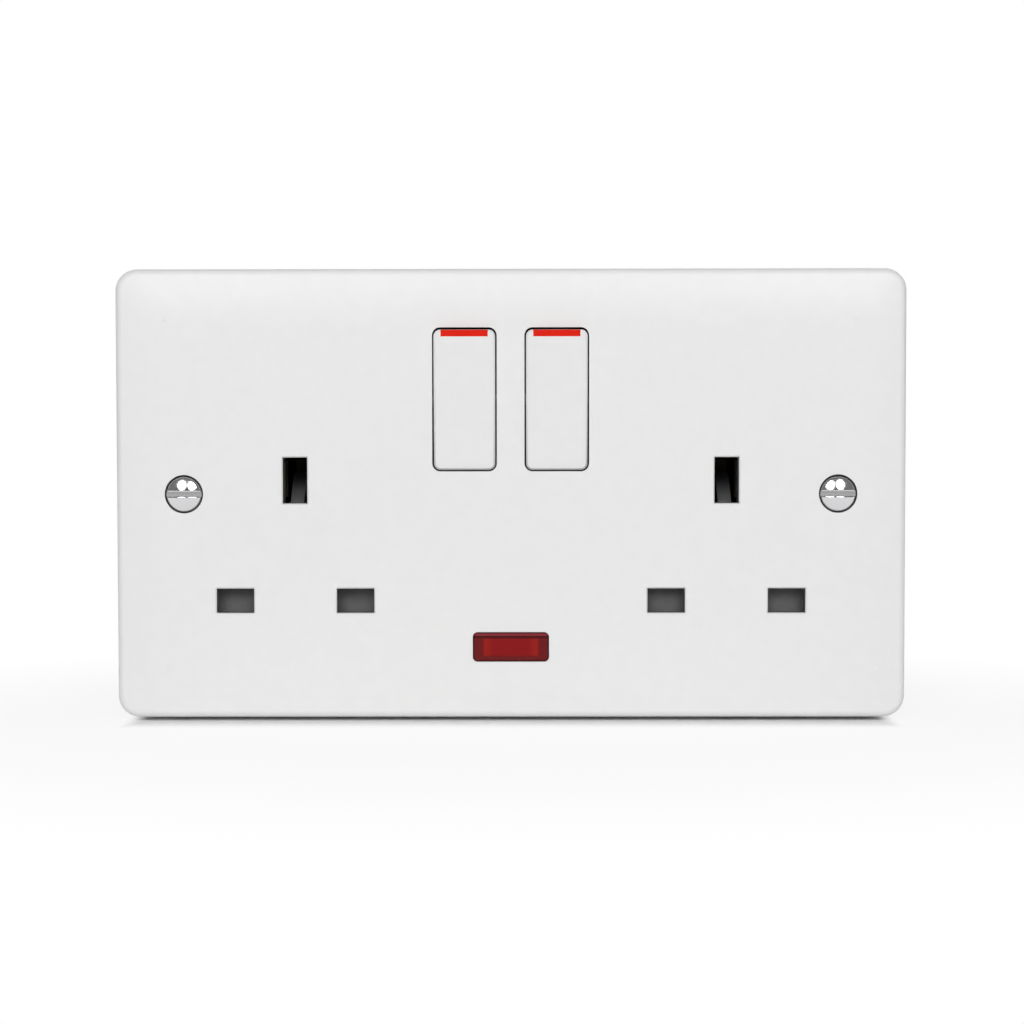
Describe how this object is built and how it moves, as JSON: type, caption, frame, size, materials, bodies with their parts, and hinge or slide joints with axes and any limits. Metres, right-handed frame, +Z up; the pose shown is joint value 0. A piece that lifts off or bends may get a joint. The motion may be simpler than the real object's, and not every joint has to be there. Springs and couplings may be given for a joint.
{
  "type": "switched socket outlet",
  "caption": "White two-gang switched wall socket with square-pin slots, rockers with red flashes, shutters and a red neon indicator.",
  "frame": {"origin": "centre of the plate on the wall plane, midway between the fixing screws", "axes": "+X to the right seen from the front, +Y into the wall, +Z up"},
  "size_m": [0.146, 0.0338, 0.083],
  "materials": {
    "plate_plastic": "semi-gloss white moulding",
    "rocker_plastic": "semi-gloss white moulding",
    "flash_plastic": "bright red inlay",
    "lens_plastic": "clear red moulding",
    "housing_plastic": "matt charcoal moulding",
    "shutter_plastic": "satin dark grey moulding",
    "plunger_plastic": "satin natural moulding",
    "brass": "bright pressed strip",
    "terminal_brass": "machined",
    "silver": "plain silver alloy",
    "spring_steel": "drawn wire",
    "screw_chrome": "bright nickel plate",
    "screw_steel": "zinc plate",
    "lamp_glass": "clear",
    "lamp_metal": "drawn wire",
    "resistor_coat": "dipped coat"
  },
  "bodies": {
    "socket": {"earth_strap": "brass", "faceplate": "plate_plastic", "fixing_screws": "screw_chrome", "housing_screws": "screw_steel", "lamp_electrodes": "lamp_metal", "lamp_glass": "lamp_glass", "lamp_leads": "lamp_metal", "lamp_resistor": "resistor_coat", "left_earth_clip": "brass", "left_earth_terminal": "terminal_brass", "left_fixed_tip": "silver", "left_line_clip": "brass", "left_neutral_clip": "brass", "left_shutter_spring": "spring_steel", "left_switched_strap": "brass", "line_strap": "brass", "line_terminal": "terminal_brass", "neon_lens": "lens_plastic", "neutral_strap": "brass", "neutral_terminal": "terminal_brass", "rear_housing": "housing_plastic", "right_earth_clip": "brass", "right_earth_terminal": "terminal_brass", "right_fixed_tip": "silver", "right_line_clip": "brass", "right_neutral_clip": "brass", "right_shutter_spring": "spring_steel", "right_switched_strap": "brass", "terminal_screws": "screw_steel"},
    "left_rocker": {"left_rocker": "rocker_plastic", "left_rocker_flash": "flash_plastic", "left_plunger_spring": "spring_steel"},
    "left_plunger": {"left_plunger": "plunger_plastic"},
    "left_moving_contact": {"left_moving_contact": "brass", "left_moving_tip": "silver"},
    "left_shutter": {"left_shutter": "shutter_plastic"},
    "right_rocker": {"right_rocker": "rocker_plastic", "right_rocker_flash": "flash_plastic", "right_plunger_spring": "spring_steel"},
    "right_plunger": {"right_plunger": "plunger_plastic"},
    "right_moving_contact": {"right_moving_contact": "brass", "right_moving_tip": "silver"},
    "right_shutter": {"right_shutter": "shutter_plastic"}
  },
  "joints": [
    {"name": "left_rocker_hinge", "type": "hinge", "parent": "socket", "child": "left_rocker", "pos_m": [-0.0085, -0.0072, 0.0174], "axis": [-1, 0, 0], "range_deg": [0, 9]},
    {"name": "left_contact_hinge", "type": "hinge", "parent": "socket", "child": "left_moving_contact", "pos_m": [-0.0085, 0.00435, 0.0174], "axis": [-1, 0, 0], "range_deg": [-14.4, 0]},
    {"name": "left_plunger_slide", "type": "slide", "parent": "left_rocker", "child": "left_plunger", "axis": [0, -0.9969, -0.0785], "range_m": [0, 0.0008], "stiffness_N_per_m": 500, "springref_m": -0.0015, "deforming": ["left_plunger_spring"]},
    {"name": "left_shutter_slide", "type": "slide", "parent": "socket", "child": "left_shutter", "axis": [0, 0, -1], "range_m": [0, 0.0057], "stiffness_N_per_m": 150, "springref_m": -0.004, "deforming": ["left_shutter_spring"]},
    {"name": "right_rocker_hinge", "type": "hinge", "parent": "socket", "child": "right_rocker", "pos_m": [0.0085, -0.0072, 0.0174], "axis": [-1, 0, 0], "range_deg": [0, 9]},
    {"name": "right_contact_hinge", "type": "hinge", "parent": "socket", "child": "right_moving_contact", "pos_m": [0.0085, 0.00435, 0.0174], "axis": [-1, 0, 0], "range_deg": [-14.4, 0]},
    {"name": "right_plunger_slide", "type": "slide", "parent": "right_rocker", "child": "right_plunger", "axis": [0, -0.9969, -0.0785], "range_m": [0, 0.0008], "stiffness_N_per_m": 500, "springref_m": -0.0015, "deforming": ["right_plunger_spring"]},
    {"name": "right_shutter_slide", "type": "slide", "parent": "socket", "child": "right_shutter", "axis": [0, 0, -1], "range_m": [0, 0.0057], "stiffness_N_per_m": 150, "springref_m": -0.004, "deforming": ["right_shutter_spring"]}
  ],
  "couplings": [
    {"joint": "left_contact_hinge", "follows": "left_rocker_hinge", "ratio": -1.6},
    {"joint": "right_contact_hinge", "follows": "right_rocker_hinge", "ratio": -1.6}
  ]
}
